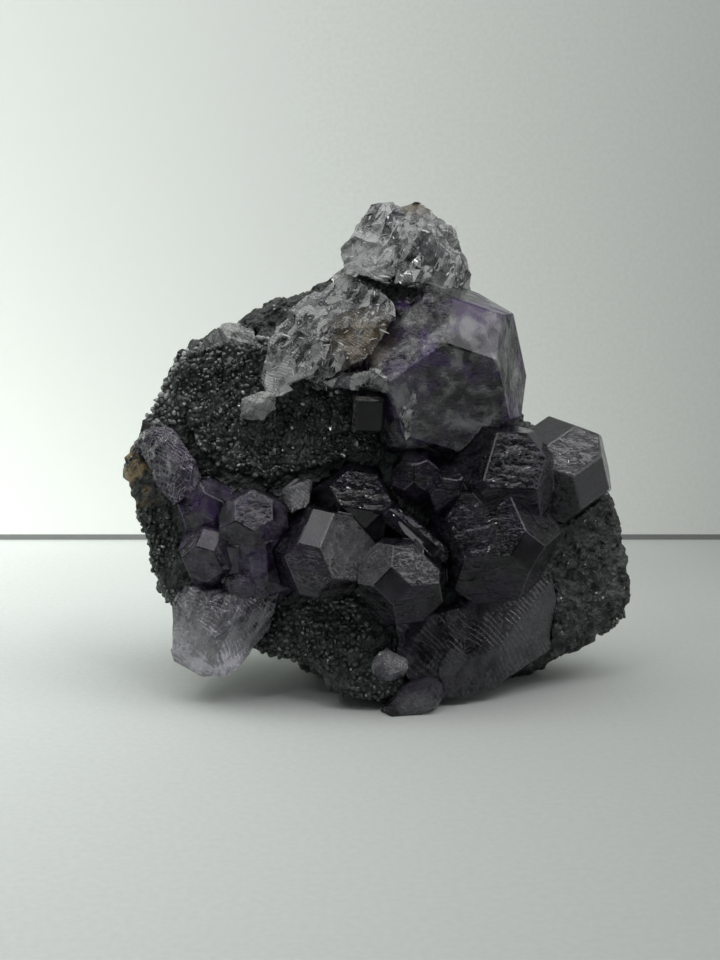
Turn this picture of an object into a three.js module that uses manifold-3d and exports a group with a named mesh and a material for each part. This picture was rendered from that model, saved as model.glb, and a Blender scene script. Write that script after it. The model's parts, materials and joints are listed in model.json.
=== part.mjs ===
// A hand-sized cluster of purple fluorite crystals on dark chloritic host rock.
// Sizes are in millimetres, +Z is up, and the show side looks towards -Y.
// The crystals are rhombic dodecahedra with small cube faces: a box whose twelve
// edges are cut back so far that the cuts meet, which leaves one square on each side.
import * as THREE from "three";
import { ConvexGeometry } from "three/addons/geometries/ConvexGeometry.js";
import { mergeVertices } from "three/addons/utils/BufferGeometryUtils.js";
import Module from "manifold-3d";

const wasm = await Module();
wasm.setup();

const gap = 0.3; // left between two pieces that grew against each other
const rad = THREE.MathUtils.degToRad;
const vec = (x, y, z) => new THREE.Vector3(x, y, z);

// Driving dimensions of the host rock
const rockHeart = vec(3, 26, 40); // the point that its outline is drawn around
const rockBack = 46; // how far back the broken rear face lies at its middle
const rearFall = 0.005; // how fast it falls away from there, per mm squared
const rockDetail = 10; // subdivisions of the ball that becomes the rock
const rockRoughness = 0.5; // height of the lumps and pits at the outline
const faceRoughness = 1.1; // and on the front and rear faces
const chipCount = 50; // flat fractures that trim its corners
const frontDepth = 15; // depth of the front face at the heart's height
const frontLean = 0.25; // mm further back for each mm up

// The rock's edge as seen from the front: across, depth and up
const rockOutline = [
  [-43.5, 17, 43.5], [-41, 18, 45], [-37.5, 19, 48], [-36.5, 21, 52.5], [-35.5, 22, 55],
  [-34, 24, 59], [-33, 25, 61], [-31, 26, 62], [-27, 27, 62.5], [-23.5, 28, 64.5], [-18, 29, 69],
  [-14, 29, 70], [-7.5, 30, 72.5], [-4.5, 30, 74.5], [3.5, 31, 78], [14.5, 31, 79], [20, 30, 70.5],
  [25.5, 29, 61], [29.5, 27, 48], [36, 27, 44], [44.5, 27, 38.5], [47, 27, 32], [48.5, 27, 25.5],
  [50.5, 26, 19.5], [50.5, 25, 15], [48, 24, 10.5], [43, 22, 7.5], [37, 20, 7], [31, 17, 6],
  [21.5, 12, 4], [14, 7, 2], [8.5, 3, -0.5], [4.5, 2, -1], [1, 3, 0], [-1.5, 3.5, 1],
  [-5, 5, 2.5], [-7.5, 7, 6], [-13, 9, 8.5], [-17.5, 11, 9.5], [-24.5, 14, 10], [-32.5, 16, 12],
  [-36, 17, 19], [-37.5, 17, 22], [-37.5, 17, 26], [-39.5, 17, 32.5], [-41, 17, 36], [-43, 17, 41],
];

// Forms that stand out of (negative) or sink into (positive) the rock's front face
const rockForms = [
  { at: [-2, 8], width: 8, depth: -1.5 }, // the toe that it stands on
  { at: [14, 12], width: 7, depth: 3 }, // the hollow under the front crystals
  { at: [40, 22], width: 9, depth: 7 }, // the broken right-hand shoulder
  { at: [-37, 38], width: 7, depth: 3 }, // the brown left edge
];

// The broken lower rear, which carries the piece together with the toe
const heelAcross = [-8, 32]; // where it stands, from side to side
const heelDepths = [12, 28]; // where it starts, and from where it is fully down
const heelFade = 8; // how softly it ends at the sides
const heelHeight = 30; // the height that it starts from
const rockFullness = 4; // how squarely the rear of the rock is broken

// Sharp ridges that the break left on the rear: waves per mm across and up, start and height
const rearRidges = [
  [0.09, 0.05, 1.2, 2.4], [-0.06, 0.11, 0.3, 2], [0.17, -0.14, 2, 1],
];

// The crust of small crystals in the hollow
const crustEdge = [
  [-34, 57], [-30, 61], [-24, 62.5], [-15, 62], [-8, 58], [0, 56], [6, 52], [6, 46], [-3, 43.5],
  [-10, 41], [-16, 39.5], [-24, 41], [-28, 44], [-31, 50],
];
const crustCells = [32, 19]; // across and up
const crustThickness = 1.4;
const crustPeak = 1.3; // height of its tallest crystals

// Repeatable numbers from 0 to 1
function dice(seed) {
  let state = seed * 2654435761;
  return () => {
    state = (Math.imul(state ^ (state >>> 15), 2246822519) + 3266489917) >>> 0;
    return ((state ^ (state >>> 13)) >>> 0) / 4294967296;
  };
}

function randomDirection(roll) {
  const up = roll() * 2 - 1;
  const round = roll() * Math.PI * 2;
  const flat = Math.sqrt(1 - up * up);
  return vec(Math.cos(round) * flat, Math.sin(round) * flat, up);
}

function turned(turn) {
  return new THREE.Quaternion().setFromEuler(new THREE.Euler(...turn.map(rad), "XYZ"));
}

// A closed three.js geometry as a solid for joins and cuts
function solid(geometry) {
  const bare = new THREE.BufferGeometry().setAttribute("position", geometry.getAttribute("position"));
  if (geometry.index) bare.setIndex(geometry.index);
  const merged = mergeVertices(bare, 1e-4);
  return new wasm.Manifold(
    new wasm.Mesh({
      numProp: 3,
      vertProperties: merged.getAttribute("position").array,
      triVerts: new Uint32Array(merged.index.array),
    }),
  );
}

const join = (solids) => solids.reduce((all, next) => all.add(next));

// The largest body of a solid, without the loose chips that a cut leaves
function mainBody(cut) {
  return cut.decompose().reduce((best, next) => (next.volume() > best.volume() ? next : best));
}

// The convex body behind a set of planes, each { normal, reach }
function convexBody(planes) {
  const corners = [];
  const across = vec(0, 0, 0);
  for (let i = 0; i < planes.length; i++)
    for (let j = i + 1; j < planes.length; j++)
      for (let k = j + 1; k < planes.length; k++) {
        const [a, b, c] = [planes[i], planes[j], planes[k]];
        const bc = vec(0, 0, 0).crossVectors(b.normal, c.normal);
        const size = a.normal.dot(bc);
        if (Math.abs(size) < 1e-6) continue;
        const corner = bc.multiplyScalar(a.reach)
          .add(across.crossVectors(c.normal, a.normal).multiplyScalar(b.reach))
          .add(across.crossVectors(a.normal, b.normal).multiplyScalar(c.reach))
          .divideScalar(size);
        if (planes.every((p) => p.normal.dot(corner) < p.reach + 1e-5)) corners.push(corner);
      }
  return new ConvexGeometry(corners);
}

// One crystal: half sizes of its box, how far the edges are cut back, and the faces that
// grew further out (or less far) than that, as direction and mm
function crystalPlanes({ half, chamfer, shifts = [] }) {
  const planes = [];
  const axes = [0, 1, 2];
  const signs = [-1, 1];
  for (const i of axes)
    for (const s of signs)
      planes.push({ normal: vec(0, 0, 0).setComponent(i, s), reach: half[i] });
  for (const [i, j] of [[0, 1], [1, 2], [0, 2]])
    for (const s of signs)
      for (const t of signs)
        planes.push({
          normal: vec(0, 0, 0).setComponent(i, s).setComponent(j, t).normalize(),
          reach: (half[i] + half[j] - chamfer) / Math.SQRT2,
        });
  for (const [x, y, z, out] of shifts) {
    const normal = vec(x, y, z).normalize();
    planes.find((plane) => plane.normal.dot(normal) > 0.999).reach += out;
  }
  return planes;
}

// The planes of the tightest convex body around some points
function hullPlanes({ points }) {
  const hull = new ConvexGeometry(points.map((point) => vec(...point)));
  const place = hull.getAttribute("position");
  const planes = [];
  const [a, b, c] = [vec(0, 0, 0), vec(0, 0, 0), vec(0, 0, 0)];
  for (let i = 0; i < place.count; i += 3) {
    a.fromBufferAttribute(place, i);
    b.fromBufferAttribute(place, i + 1).sub(a);
    c.fromBufferAttribute(place, i + 2).sub(a);
    const normal = vec(0, 0, 0).crossVectors(b, c).normalize();
    if (!planes.some((plane) => plane.normal.dot(normal) > 0.9999)) planes.push({ normal, reach: normal.dot(a) });
  }
  return planes;
}

// A broken lump: random fracture planes around an ellipsoid
function lumpPlanes({ half, chips, seed }) {
  const roll = dice(seed);
  const planes = [];
  for (let i = 0; i < chips; i++) {
    const normal = randomDirection(roll);
    const ellipsoid = Math.hypot(half[0] * normal.x, half[1] * normal.y, half[2] * normal.z);
    planes.push({ normal, reach: ellipsoid * (0.86 + 0.14 * roll()) });
  }
  return planes;
}

// A crystal or broken piece in its place, with `grown` mm added all over
function placed(shape, grown = 0) {
  const planesOf = shape.points ? hullPlanes : shape.chips ? lumpPlanes : crystalPlanes;
  const planes = planesOf(shape);
  for (const plane of planes) plane.reach += grown;
  const body = convexBody(planes);
  body.applyQuaternion(turned(shape.turn ?? [0, 0, 0]));
  body.translate(...(shape.at ?? [0, 0, 0]));
  return solid(body);
}

const grownTogether = (shapes, grown = 0) => join(shapes.map((shape) => placed(shape, grown)));

// The crystals and broken pieces, group by group. Those of one group have grown into each other.
const groups = {
  lower_fluorite: [
    { // the bright one at the front
      at: [-6.4, 8, 27.2], turn: [-53.3, 16.3, -89.4], half: [8.1, 8.7, 9.3], chamfer: 6.6,
      shifts: [[1, 0, 0, -0.8], [1, 1, 0, -1.4], [1, 0, -1, 1], [0, 1, 1, 1.6], [0, 1, -1, 0.6], [-1, 1, 0, -0.8], [-1, 0, -1, -0.9], [0, 0, -1, 0.8]],
    },
    { // the dark one beside it
      at: [7.3, 5, 23.3], turn: [8.8, 42.1, -106.5], half: [7.3, 7.5, 6.9], chamfer: 4.7,
      shifts: [[1, 1, 0, -0.7], [0, 0, 1, -0.3], [0, 1, 1, 0.3]],
    },
    { // the one above them
      at: [-0.6, 18.5, 32.7], turn: [-174.7, 80.3, 6], half: [9.2, 9.6, 8.6], chamfer: 5.5,
      shifts: [[1, 0, 1, -0.7], [1, -1, 0, 1], [0, 1, 0, -0.5], [0, 1, 1, 0.9], [0, 0, 1, -0.5], [0, -1, 1, 0.5], [0, -1, -1, -1.4], [0, 0, -1, 1.2]],
    },
    { // the etched one on the right
      at: [24.7, 13, 39.9], turn: [24.4, 44, -124.2], half: [10.1, 10.2, 9.9], chamfer: 8.6,
      shifts: [[1, 0, 0, 0.5], [1, -1, 0, -0.5], [0, 1, 1, 0.3], [0, 0, 1, -0.5], [0, -1, 1, 0.5]],
    },
    { // the one below that
      at: [23.1, 12, 29.2], turn: [-89.8, -26.9, 127.1], half: [11.7, 11.7, 11.7], chamfer: 9.2,
    },
    { // the far right one
      at: [36, 22, 39.6], turn: [99.9, 35.4, -160], half: [8.6, 8.6, 8.6], chamfer: 5,
    },
    { at: [10, 13, 40], turn: [30, 40, -100], half: [4.6, 4.6, 4.6], chamfer: 3.2 },
    { at: [17.2, 12, 37], turn: [15, 35, -80], half: [5.4, 5.4, 5.4], chamfer: 3.6 },
    { at: [9.8, 9.5, 30.5], turn: [0, 38, -20], half: [6.5, 3.6, 1.8], chamfer: 1.1 }, // stepped ridge
    { at: [11.6, 9, 29.6], turn: [0, 38, -20], half: [5.6, 3.6, 1.6], chamfer: 1 },
    { // the dark mass under the front crystals
      points: [
        [6.5, 7, 16], [12.5, 7, 16.5], [18.5, 9, 17.5], [20, 7, 9.5], [14, 5.5, 4], [9, 4.5, 4],
        [6.5, 5, 9], [7, 14, 16], [19, 18, 17], [18, 16, 6], [9, 14, 5],
      ],
    },
    { // broken along the cleavage, lower right
      points: [
        [19.5, 9, 15], [21.5, 10, 17], [34.5, 15, 21], [35.5, 16, 17], [33.5, 15, 13.5], [34, 15, 7.5],
        [27.5, 11, 5.5], [23.5, 9, 2.5], [18.5, 7, 1.5], [14.5, 6, 2], [13.5, 5, 6.5], [15, 6, 10.5],
        [19.5, 13, 25], [24.5, 8, 10.5], [36, 24, 14.5], [34, 24, 8], [19, 18, 2], [15.5, 18, 5], [26, 24, 14.5],
      ],
    },
  ],
  upper_fluorite: [
    { // the large crystal
      at: [13.9, 22, 56.7], turn: [-34.8, 9.1, -69.2], half: [15.5, 15, 15], chamfer: 10.3,
      shifts: [[1, 0, 1, 1.3], [1, 0, -1, -1.5], [0, 1, 1, -1.3], [0, -1, 0, -0.7], [0, -1, -1, 0.6], [0, 1, -1, 0.5]],
    },
    { // the clear summit
      points: [
        [-3, 24, 79], [-0.5, 24, 82.5], [2.5, 26, 86.5], [6.5, 26, 87], [8, 20, 83.5], [7, 17, 77.5],
        [4.5, 16, 73], [-2, 19, 75], [-3, 22, 77], [-2, 33, 78], [3, 34, 85.5], [7.5, 35, 86], [7.5, 36, 77],
      ],
    },
    { // the darker right half of the summit
      points: [
        [7, 26, 86.5], [10.5, 27, 87.5], [12, 28, 86.5], [13, 28, 85], [16, 29, 83.5], [17, 28, 81],
        [18, 27, 77.5], [19.5, 26, 73.5], [20, 26, 71], [16, 20, 72], [10.5, 16, 73], [7, 15, 73],
        [7, 19, 82.5], [11.5, 20, 81.5], [9.5, 36, 85.5], [15, 38, 83.5], [18.5, 38, 76.5], [20, 37, 71],
      ],
    },
    { // the feathery slab
      points: [
        [-3, 24, 76], [-6.5, 22, 72.5], [-11, 19, 68.5], [-14.5, 17, 66.5], [-16.5, 14, 59], [-16.5, 13, 55],
        [-14.5, 12, 55], [-8.5, 10, 57.5], [-2, 9, 59.5], [1.5, 9, 61], [5.5, 12, 67.5], [5, 16, 70.5],
        [0, 20, 73], [-8.5, 12, 64], [3.5, 30, 71.5], [-11, 28, 66.5], [-15.5, 24, 56.5], [-2, 24, 57.5],
      ],
    },
    { // its dark underside
      points: [
        [-8.5, 12, 57], [-1, 9, 55.8], [2, 8, 59], [6, 8, 57], [5, 9, 55], [-1, 18, 55],
        [-9, 20, 56.5], [5, 18, 54.5], [6, 18, 57], [7, 14, 59],
      ],
    },
    { // the curved face that runs down beside the large crystal
      points: [
        [5, 9, 56.5], [9, 8, 56], [8.5, 9, 47.5], [5.5, 9, 54], [9, 18, 47], [6, 18, 55], [11, 18, 56],
      ],
    },
  ],
  left_fluorite: [
    { at: [-27, 13, 34.3], turn: [-19.6, 25, 12.7], half: [5, 5, 5], chamfer: 3.2 },
    { at: [-18.6, 10, 31.8], turn: [-132, -49.5, -95.5], half: [6.4, 6.4, 6.4], chamfer: 4.4 },
    { at: [-16.8, 9.5, 25.5], turn: [4, -3, 40], half: [4.2, 4.2, 6.5], chamfer: 1.8 },
    { at: [-20.8, 9, 26], turn: [4, -3, 62], half: [3.6, 3.6, 5], chamfer: 1.6 },
    { at: [-25.5, 11, 26.5], turn: [-35, 20, -95], half: [6, 6, 6], chamfer: 4.2 },
    { at: [-20.5, 7, 22], turn: [20, 10, 30], half: [3, 3, 3], chamfer: 2 },
    { // the lilac piece that is broken along the cleavage
      points: [
        [-33.5, 10, 17.5], [-33.5, 9, 10], [-33, 9, 8], [-28.5, 7, 6], [-24.5, 6, 5], [-22.5, 6, 6],
        [-18.5, 7, 11.5], [-16, 8, 13], [-14.5, 6, 18.5], [-14, 7, 21.5], [-23, 4, 20.5], [-30.5, 9, 21],
        [-25, 2, 13.5], [-20.5, 2.5, 17], [-27.5, 4, 16.5], [-32.5, 17, 14.5], [-32.5, 15, 8],
        [-26, 14, 5.5], [-17, 16, 13], [-16.5, 17, 17.5],
      ],
    },
  ],
  edge_fluorite: [
    {
      points: [
        [-36.5, 15, 48.5], [-34, 14, 49], [-31.5, 13, 47], [-30.5, 12, 45], [-28.5, 11, 43], [-28, 11, 39.5],
        [-29.5, 10, 37], [-32.5, 10, 35.5], [-35, 12, 37.5], [-36, 14, 39], [-38, 15, 42.5], [-39, 16, 43],
        [-32, 9, 42.5], [-34, 11, 46], [-38, 22, 45], [-32.5, 21, 43.5], [-30.5, 19, 37.5], [-35, 19, 36.5],
      ],
    },
    {
      points: [
        [-40.5, 18, 45.5], [-39, 18, 47.5], [-37, 17, 48], [-36, 15, 45], [-37.5, 15, 44],
        [-39.5, 17, 43], [-40, 25, 45], [-38, 24, 43.5], [-37.5, 14, 46.5],
      ],
    },
  ],
  toe_fluorite: [
    {
      points: [
        [14, 3, 5.5], [13, 2, 1.5], [5.5, 1, 0.5], [5.5, 2, -1.5], [9, 3, -1], [13, 4, 0.5], [15, 6, 3],
        [6, 1, 3], [7.5, 2, 5], [3, 4, -0.5], [12.5, 7, 6.5], [7, 7, 4.5], [14.5, 12, 1], [7, 12, -0.5],
      ],
    },
  ],
  bead_fluorite: [
    { at: [4.7, 4.8, 8], half: [3.1, 3.1, 2.6], chips: 28, seed: 52 },
  ],
  hollow_fluorite: [
    { at: [1, 12.5, 51.6], turn: [8, 4, 10], half: [2.9, 3.6, 3.4], chamfer: 0.8 },
  ],
  strip_fluorite: [
    {
      points: [
        [-13.5, 10, 38.5], [-11.5, 8, 38.7], [-11.5, 7, 34.5], [-13, 9, 34.5], [-8.5, 10, 40],
        [-9, 9, 35.5], [-10.5, 13, 40], [-13.5, 17, 35], [-8.5, 18, 36.5],
      ],
    },
  ],
  hollow_tip_fluorite: [
    {
      points: [
        [-21, 15, 50], [-20.5, 14, 53.5], [-17, 12, 55], [-14.5, 12, 54.5], [-14.5, 13, 52],
        [-17, 14, 50], [-18, 10, 53], [-19.5, 24, 51.5], [-16, 24, 52.5],
      ],
    },
  ],
  ridge_fluorite: [
    { at: [-22.5, 25, 62.8], turn: [20, 30, 10], half: [4.2, 4.4, 2.4], chips: 22, seed: 81 },
    { at: [-26.5, 24, 61.4], turn: [0, -20, 0], half: [3, 3.4, 2], chips: 20, seed: 82 },
  ],
};

// Smooth repeatable noise from -1 to 1: a few crossed waves, so that no lattice shows
function lumpiness(p) {
  const waves = [
    [0.31, 0.17, -0.23, 1.1, 0.5], [-0.19, 0.37, 0.29, 4.2, 0.5], [0.53, -0.41, 0.47, 2.7, 0.3],
    [-0.61, -0.57, 0.39, 0.4, 0.3], [0.97, 0.83, -0.71, 5.1, 0.2], [-0.89, 1.03, 0.93, 3.3, 0.2],
  ];
  return waves.reduce((sum, [x, y, z, start, size]) => sum + size * Math.sin(x * p.x + y * p.y + z * p.z + start), 0);
}

// Where a ray from the heart at this angle meets the outline
function outlineAt(angle) {
  const ray = vec(Math.cos(angle), 0, Math.sin(angle));
  for (let i = 0; i < rockOutline.length; i++) {
    const [x0, y0, z0] = rockOutline[i];
    const [x1, y1, z1] = rockOutline[(i + 1) % rockOutline.length];
    const from = vec(x0 - rockHeart.x, 0, z0 - rockHeart.z);
    const along = vec(x1 - x0, 0, z1 - z0);
    const det = ray.x * along.z - ray.z * along.x;
    const share = (from.x * ray.z - from.z * ray.x) / det;
    const reach = (from.x * along.z - from.z * along.x) / det;
    if (share >= 0 && share <= 1 && reach > 0) return { reach, depth: y0 + share * (y1 - y0) };
  }
  throw new Error("the outline does not close round the heart");
}

function rearAt(x, z) {
  const fall = rearFall * ((x - rockHeart.x) ** 2 + (z - rockHeart.z) ** 2);
  return rearRidges.reduce(
    (depth, [across, up, start, height]) => depth + height * (1 - 2 * Math.abs(Math.sin(across * x + up * z + start))),
    rockBack - fall,
  );
}

function frontAt(x, z) {
  const plain = frontDepth + frontLean * (z - rockHeart.z);
  return rockForms.reduce((depth, form) => {
    const away = ((x - form.at[0]) ** 2 + (z - form.at[1]) ** 2) / (2 * form.width ** 2);
    return depth + form.depth * Math.exp(-away);
  }, plain);
}

// The height that a point of the rock gets so that its lower rear reaches the surface
function heelAt(x, y, z) {
  const { smoothstep } = THREE.MathUtils;
  const sides = smoothstep(x, heelAcross[0] - heelFade, heelAcross[0]) * (1 - smoothstep(x, heelAcross[1], heelAcross[1] + heelFade));
  const low = Math.min(1, Math.max(0, (heelHeight - z) / (0.6 * heelHeight)));
  const share = sides * low * smoothstep(y, ...heelDepths);
  return z * (1 - share) - 0.9 * share;
}

// The host rock: a finely divided ball pulled out to the outline, front face and rear face
function hostRock() {
  const ball = new THREE.IcosahedronGeometry(1, rockDetail);
  const place = ball.getAttribute("position");
  const p = vec(0, 0, 0);
  for (let i = 0; i < place.count; i++) {
    p.fromBufferAttribute(place, i);
    const rim = outlineAt(Math.atan2(p.z, p.x));
    const lat = Math.min(0.9999, Math.abs(p.y));
    const spread = Math.sqrt(1 - lat ** 2) ** (p.y < 0 ? 0.5 : 1);
    const inwards = p.y < 0 ? lat ** 1.4 : (1 - spread ** rockFullness) ** (1 / rockFullness);
    const flat = Math.hypot(p.x, p.z) || 1;
    const x = rockHeart.x + (p.x / flat) * rim.reach * spread;
    const z = rockHeart.z + (p.z / flat) * rim.reach * spread;
    const face = p.y < 0 ? frontAt(x, z) : rearAt(x, z);
    const y = rim.depth * (1 - inwards) + face * inwards;
    const out = vec(x, y, z).sub(rockHeart).normalize();
    p.set(x, y, heelAt(x, y, z));
    p.addScaledVector(out, (rockRoughness + (faceRoughness - rockRoughness) * lat) * lumpiness(p));
    place.setXYZ(i, p.x, p.y, p.z);
  }
  chipOff(place);
  return solid(ball);
}

// Flat fractures: each trims what stands furthest out in one direction
function chipOff(place) {
  const roll = dice(71);
  const p = vec(0, 0, 0);
  for (let chip = 0; chip < chipCount; chip++) {
    const normal = randomDirection(roll);
    if (Math.abs(normal.y) < 0.4) continue; // the outline keeps its shape
    let furthest = 0;
    for (let i = 0; i < place.count; i++)
      furthest = Math.max(furthest, normal.dot(p.fromBufferAttribute(place, i).sub(rockHeart)));
    const reach = furthest - 0.6 - 1.4 * roll();
    for (let i = 0; i < place.count; i++) {
      p.fromBufferAttribute(place, i).sub(rockHeart);
      const over = normal.dot(p) - reach;
      if (over > 0) p.addScaledVector(normal, -over);
      p.add(rockHeart);
      place.setXYZ(i, p.x, p.y, p.z);
    }
  }
}

// The outline of the crust as an upright block between two depths, widened by `grown` mm
function crustBlock(front, back, grown) {
  const middle = crustEdge.reduce((sum, [x, z]) => sum.add(vec(x, 0, z)), vec(0, 0, 0)).divideScalar(crustEdge.length);
  const corners = crustEdge.flatMap(([x, z]) => {
    const out = vec(x, 0, z).sub(middle);
    out.setLength(out.length() + grown).add(middle);
    return [vec(out.x, front, out.z), vec(out.x, back, out.z)];
  });
  return solid(new ConvexGeometry(corners));
}

// A plate that follows the hollow. `peak` raises every second point of its front into a crystal.
function crustPlate(behind, thickness, peak, cells = crustCells) {
  const [xs, zs] = [crustEdge.map((point) => point[0]), crustEdge.map((point) => point[1])];
  const [width, height] = [Math.max(...xs) - Math.min(...xs) + 4, Math.max(...zs) - Math.min(...zs) + 4];
  const [cellsAcross, cellsUp] = cells;
  const plate = new THREE.BoxGeometry(width, 2, height, cellsAcross, 1, cellsUp);
  plate.translate((Math.max(...xs) + Math.min(...xs)) / 2, 0, (Math.max(...zs) + Math.min(...zs)) / 2);
  const place = plate.getAttribute("position");
  const roll = dice(19);
  const random = new Map();
  for (let i = 0; i < place.count; i++) {
    const [x, z] = [place.getX(i), place.getZ(i)];
    const key = `${x.toFixed(2)} ${z.toFixed(2)}`;
    if (!random.has(key)) random.set(key, [roll(), roll(), roll()]);
    const [rise, slideX, slideZ] = random.get(key);
    const floor = frontAt(x, z) + behind;
    if (place.getY(i) > 0 || !peak) {
      place.setXYZ(i, x, floor + (place.getY(i) > 0 ? thickness : 0), z);
      continue;
    }
    const column = Math.round(((x - Math.min(...xs)) / width) * cellsAcross);
    const row = Math.round(((z - Math.min(...zs)) / height) * cellsUp);
    const tall = (column + row) % 2 ? rise : 0.6 * rise ** 2;
    const slide = 0.7 * (width / cellsAcross);
    place.setXYZ(i, x + (slideX - 0.5) * slide, floor - peak * tall, z + (slideZ - 0.5) * slide);
  }
  return solid(plate);
}

const ground = solid(new THREE.BoxGeometry(300, 300, 100).translate(0, 0, -50));

// Groups that touch leave a gap, and the rock and the crust give way to them all
const solids = {};
let taken = null;
for (const name of Object.keys(groups)) {
  let grown = grownTogether(groups[name]).subtract(ground);
  if (taken) grown = grown.subtract(taken);
  solids[name] = mainBody(grown);
  const room = grownTogether(groups[name], gap);
  taken = taken ? taken.add(room) : room;
}
solids.druse_crust = mainBody(
  crustPlate(0, crustThickness, crustPeak).intersect(crustBlock(0, 40, 0)).subtract(taken),
);
const crustRoom = crustPlate(-30, 30 + crustThickness + gap, 0, [12, 8]).intersect(crustBlock(-20, 40, gap));
solids.host_rock = mainBody(
  hostRock().subtract(ground).subtract(taken).subtract(crustRoom),
);

const finishes = {
  fluorite: { color: 0x2a2236, roughness: 0.12, metalness: 0 },
  druse_crust: { color: 0x27332f, roughness: 0.4, metalness: 0 },
  host_rock: { color: 0x2e3431, roughness: 0.75, metalness: 0 },
};

function meshOf(name) {
  const made = solids[name].getMesh();
  const body = new THREE.BufferGeometry()
    .setAttribute("position", new THREE.BufferAttribute(made.vertProperties, 3))
    .setIndex(new THREE.BufferAttribute(made.triVerts, 1));
  const finish = finishes[name] ?? finishes.fluorite;
  const mesh = new THREE.Mesh(body, new THREE.MeshStandardMaterial({ ...finish, flatShading: true }));
  mesh.name = name;
  return mesh;
}

const cluster = new THREE.Group();
for (const name of Object.keys(solids)) cluster.add(meshOf(name));

// The frame's origin is under the middle of the cluster, on the surface it stands on
const extent = new THREE.Box3().setFromObject(cluster);
const middle = extent.getCenter(vec(0, 0, 0));
cluster.position.set(-middle.x, -middle.y, -extent.min.z);

export default cluster;
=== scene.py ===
# Purple fluorite crystals on dark host rock, dressed for a plain pale studio
import json
import math
import bpy
from mathutils import Matrix, Vector

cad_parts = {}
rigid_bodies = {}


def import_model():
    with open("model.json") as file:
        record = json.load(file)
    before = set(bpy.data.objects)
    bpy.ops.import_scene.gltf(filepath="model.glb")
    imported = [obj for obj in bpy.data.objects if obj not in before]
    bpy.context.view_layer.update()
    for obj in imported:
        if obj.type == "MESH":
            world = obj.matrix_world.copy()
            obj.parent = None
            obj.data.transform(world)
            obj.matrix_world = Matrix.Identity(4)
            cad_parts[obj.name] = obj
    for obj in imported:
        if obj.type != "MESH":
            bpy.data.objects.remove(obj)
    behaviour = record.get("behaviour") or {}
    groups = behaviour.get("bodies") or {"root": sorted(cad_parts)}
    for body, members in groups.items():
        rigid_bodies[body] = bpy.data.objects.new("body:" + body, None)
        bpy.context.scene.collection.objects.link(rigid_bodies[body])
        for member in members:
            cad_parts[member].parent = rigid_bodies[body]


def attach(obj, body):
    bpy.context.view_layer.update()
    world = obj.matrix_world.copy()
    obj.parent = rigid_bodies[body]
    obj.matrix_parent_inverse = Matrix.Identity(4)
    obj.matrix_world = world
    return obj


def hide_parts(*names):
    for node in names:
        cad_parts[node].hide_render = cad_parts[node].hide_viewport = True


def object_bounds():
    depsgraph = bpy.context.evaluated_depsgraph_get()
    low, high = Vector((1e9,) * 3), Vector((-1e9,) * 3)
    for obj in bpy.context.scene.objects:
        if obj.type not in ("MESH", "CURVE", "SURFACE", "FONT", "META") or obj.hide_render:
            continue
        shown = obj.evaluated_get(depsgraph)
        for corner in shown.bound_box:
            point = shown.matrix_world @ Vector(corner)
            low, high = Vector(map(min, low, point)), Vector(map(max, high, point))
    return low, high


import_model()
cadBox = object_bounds()
print("frame loaded")

mm = 0.001
clusterMiddle = Vector((3.7365, 22.2139, 0))  # the middle of the base, in the growth plan's own mm
squareFace, etchedFace, brokenFace, edgeHighlightFinish = range(4)  # the four finishes of a fluorite surface, the fourth the edge strip painted as a highlight
squareSlack, etchedSlack = 1.1, 1.9  # how far a face may lie off a crystal's plane, in mm
parallel = 0.9997  # and how nearly it has to face the same way


def place(x, y, z):  # from the growth plan, in mm, to the frame, in metres
    return (Vector((x, y, z)) - clusterMiddle) * mm


# small helpers


def only(thing):  # selects one object and nothing else
    bpy.ops.object.select_all(action="DESELECT")
    thing.select_set(True)
    bpy.context.view_layer.objects.active = thing


def copyPiece(source, name):
    only(source)
    bpy.ops.object.duplicate()
    piece = bpy.context.active_object
    for label in list(piece.keys()):
        del piece[label]
    piece.name = name
    piece.data.name = name
    piece.data.materials.clear()
    return piece


def copyNode(node, name):  # a merged copy of a solid, ready to be worked on
    piece = copyPiece(bpy.data.objects[node], name)
    bpy.ops.object.mode_set(mode="EDIT")
    bpy.ops.mesh.select_all(action="SELECT")
    bpy.ops.mesh.customdata_custom_splitnormals_clear()
    bpy.ops.mesh.remove_doubles(threshold=0.00001)
    bpy.ops.object.mode_set(mode="OBJECT")
    return piece


def keepInside(piece):  # no corner leaves the box of the solids
    low, high = cadBox
    for vertex in piece.data.vertices:
        vertex.co = [min(max(value, a), b) for value, a, b in zip(vertex.co, low, high)]


def finishPiece(piece, slot, *nodes):  # the nodes are the solids that the piece replaces
    keepInside(piece)
    if nodes:
        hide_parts(*nodes)
    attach(piece, "root")
    return piece


def feed(tree, node, inputs):  # each input takes a link or a value
    for key, value in inputs.items():
        socket = node.inputs[key]
        if isinstance(value, bpy.types.NodeSocket):
            tree.links.new(value, socket)
        else:
            socket.default_value = (*value, 1) if socket.type == "RGBA" else value


def addNode(tree, kind, inputs=None, **settings):
    made = tree.nodes.new(kind)
    for key, value in settings.items():
        setattr(made, key, value)
    feed(tree, made, inputs or {})
    return made


def mathNode(tree, operation, first, second):
    return addNode(tree, "ShaderNodeMath", {0: first, 1: second}, operation=operation).outputs[0]


def product(tree, first, second):
    return mathNode(tree, "MULTIPLY", first, second)


def blendColour(tree, share, first, second):
    # the colours of a mix node are its inputs 6 and 7 and its output 2
    made = addNode(tree, "ShaderNodeMix", {0: share, 6: first, 7: second}, data_type="RGBA")
    return made.outputs[2]


def vectorNode(tree, operation, inputs):
    return addNode(tree, "ShaderNodeVectorMath", inputs, operation=operation)


def newMaterial(name):  # gives its node tree and its main shader too
    material = bpy.data.materials.new(name)
    material.use_nodes = True
    return material, material.node_tree, material.node_tree.nodes["Principled BSDF"]


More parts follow.
